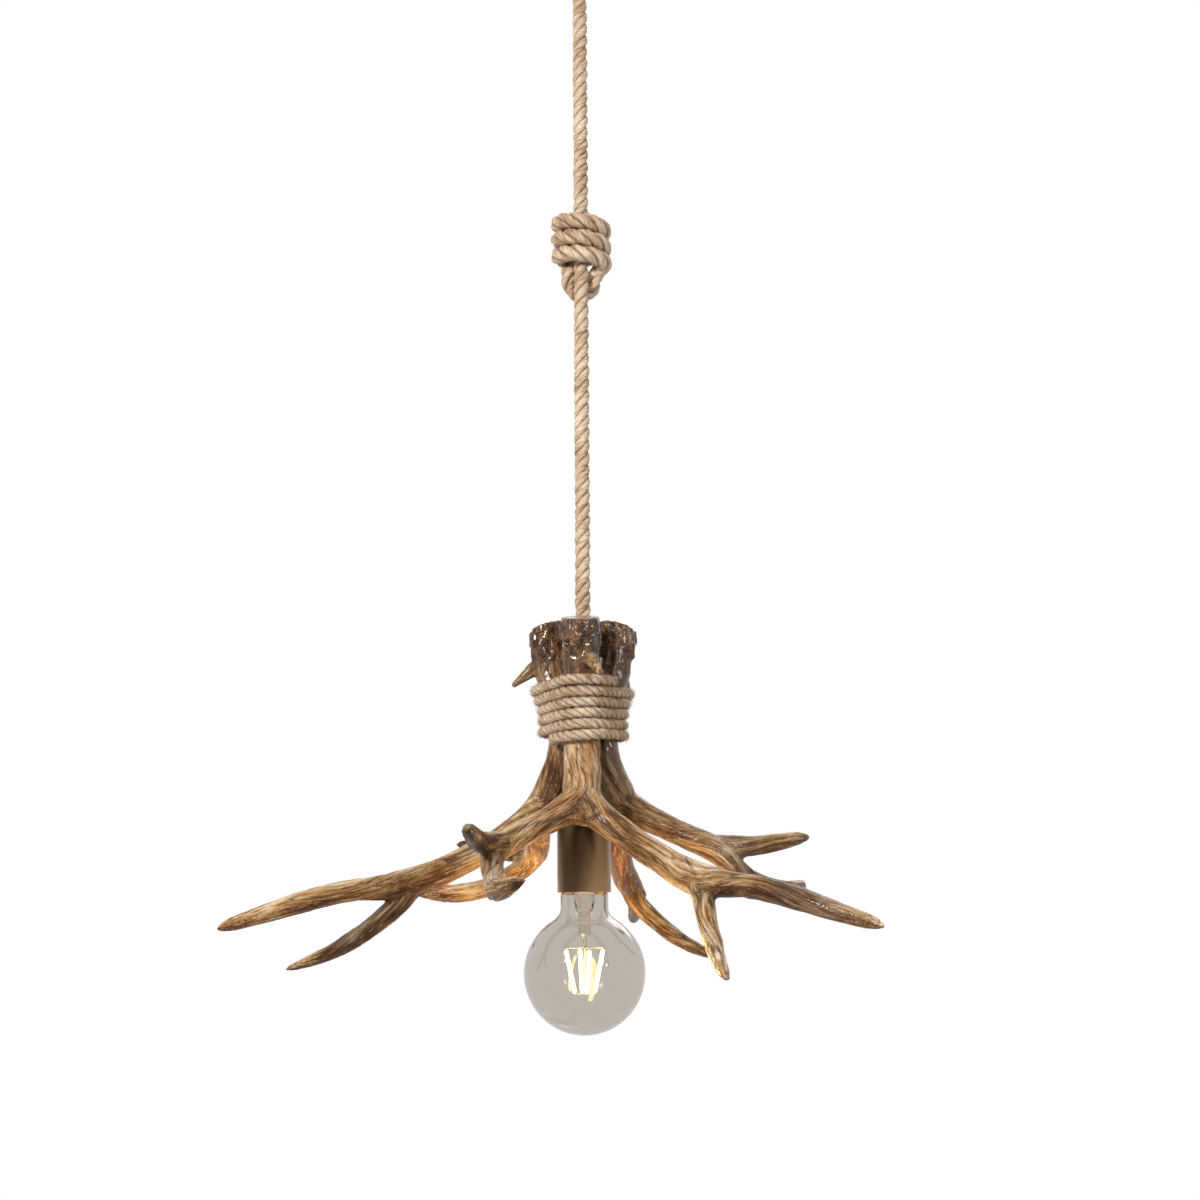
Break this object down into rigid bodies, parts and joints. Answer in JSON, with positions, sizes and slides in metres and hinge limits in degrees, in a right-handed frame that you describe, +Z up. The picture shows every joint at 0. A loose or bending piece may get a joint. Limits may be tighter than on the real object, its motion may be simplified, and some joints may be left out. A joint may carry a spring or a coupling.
{
  "type": "antler pendant light",
  "caption": "Pendant light of cast antlers bound with rope round a clear globe bulb, hung on a knotted jute rope from a ceiling canopy.",
  "frame": {"origin": "centre of the two ceiling screw holes, in the bracket's face against the ceiling", "axes": "+Z up along the rope, +X along the bracket, -Y towards the front antler and the picture's camera"},
  "size_m": [0.4733, 0.4982, 1.0095],
  "materials": {
    "bracket_steel": "zinc plated",
    "brass": "bright",
    "bronze_metal": "satin bronze",
    "block_plastic": "matt",
    "steel": "plated",
    "hub_metal": "as cast",
    "jute": "twisted jute",
    "lead_rubber": "matt",
    "antler_resin": "glossy, streaked",
    "cover_bronze": "brushed bronze",
    "porcelain": "glazed",
    "clear_glass": "clear",
    "cap_metal": "satin",
    "black_glass": "black",
    "filament": "glowing"
  },
  "bodies": {
    "ceiling": {"ceiling_bracket": "bracket_steel", "bracket_nuts": "brass", "canopy_cup": "bronze_metal", "screw_collar": "bronze_metal", "hang_loop": "bronze_metal", "terminal_block": "block_plastic", "terminal_screws": "steel", "earth_screw": "brass"},
    "swing_link": {"link": "bronze_metal"},
    "swing_eye": {"rope_eye": "bronze_metal"},
    "pendant": {"upper_ferrule": "bronze_metal", "rope": "jute", "knot": "jute", "lower_ferrule": "bronze_metal", "stem_tube": "steel", "lead": "lead_rubber", "hub_core": "hub_metal", "antler_front": "antler_resin", "antler_right": "antler_resin", "antler_left": "antler_resin", "antler_screws": "steel", "rope_binding": "jute", "lamp_cover": "cover_bronze", "stem_nuts": "brass", "holder_body": "porcelain", "screw_shell": "brass", "contact_bush": "brass"},
    "contact": {"centre_contact": "brass"},
    "bulb": {"bulb_globe": "clear_glass", "bulb_cap": "cap_metal", "bulb_insulator": "black_glass", "bulb_tip": "cap_metal", "bulb_stem": "clear_glass", "filament_wires": "steel", "filament_sticks": "filament"}
  },
  "joints": [
    {"name": "link_swing", "type": "hinge", "parent": "ceiling", "child": "swing_link", "pos_m": [0, 0, -0.0643], "axis": [1, 0, 0], "range_deg": [-35, 35]},
    {"name": "eye_swing", "type": "hinge", "parent": "swing_link", "child": "swing_eye", "pos_m": [0, 0, -0.0798], "axis": [0, 1, 0], "range_deg": [-35, 35]},
    {"name": "rope_twist", "type": "hinge", "parent": "swing_eye", "child": "pendant", "pos_m": [0, 0, -0.0975], "axis": [0, 0, 1], "range_deg": [-180, 180]},
    {"name": "bulb_travel", "type": "slide", "parent": "pendant", "child": "contact", "axis": [0, 0, 1], "range_m": [-0.00185, 0]},
    {"name": "bulb_turn", "type": "hinge", "parent": "contact", "child": "bulb", "pos_m": [0, 0, -0.9], "axis": [0, 0, 1], "range_deg": [-180, 0]}
  ],
  "couplings": [
    {"joint": "bulb_travel", "follows": "bulb_turn", "m_per_rad": 0.00057773}
  ]
}
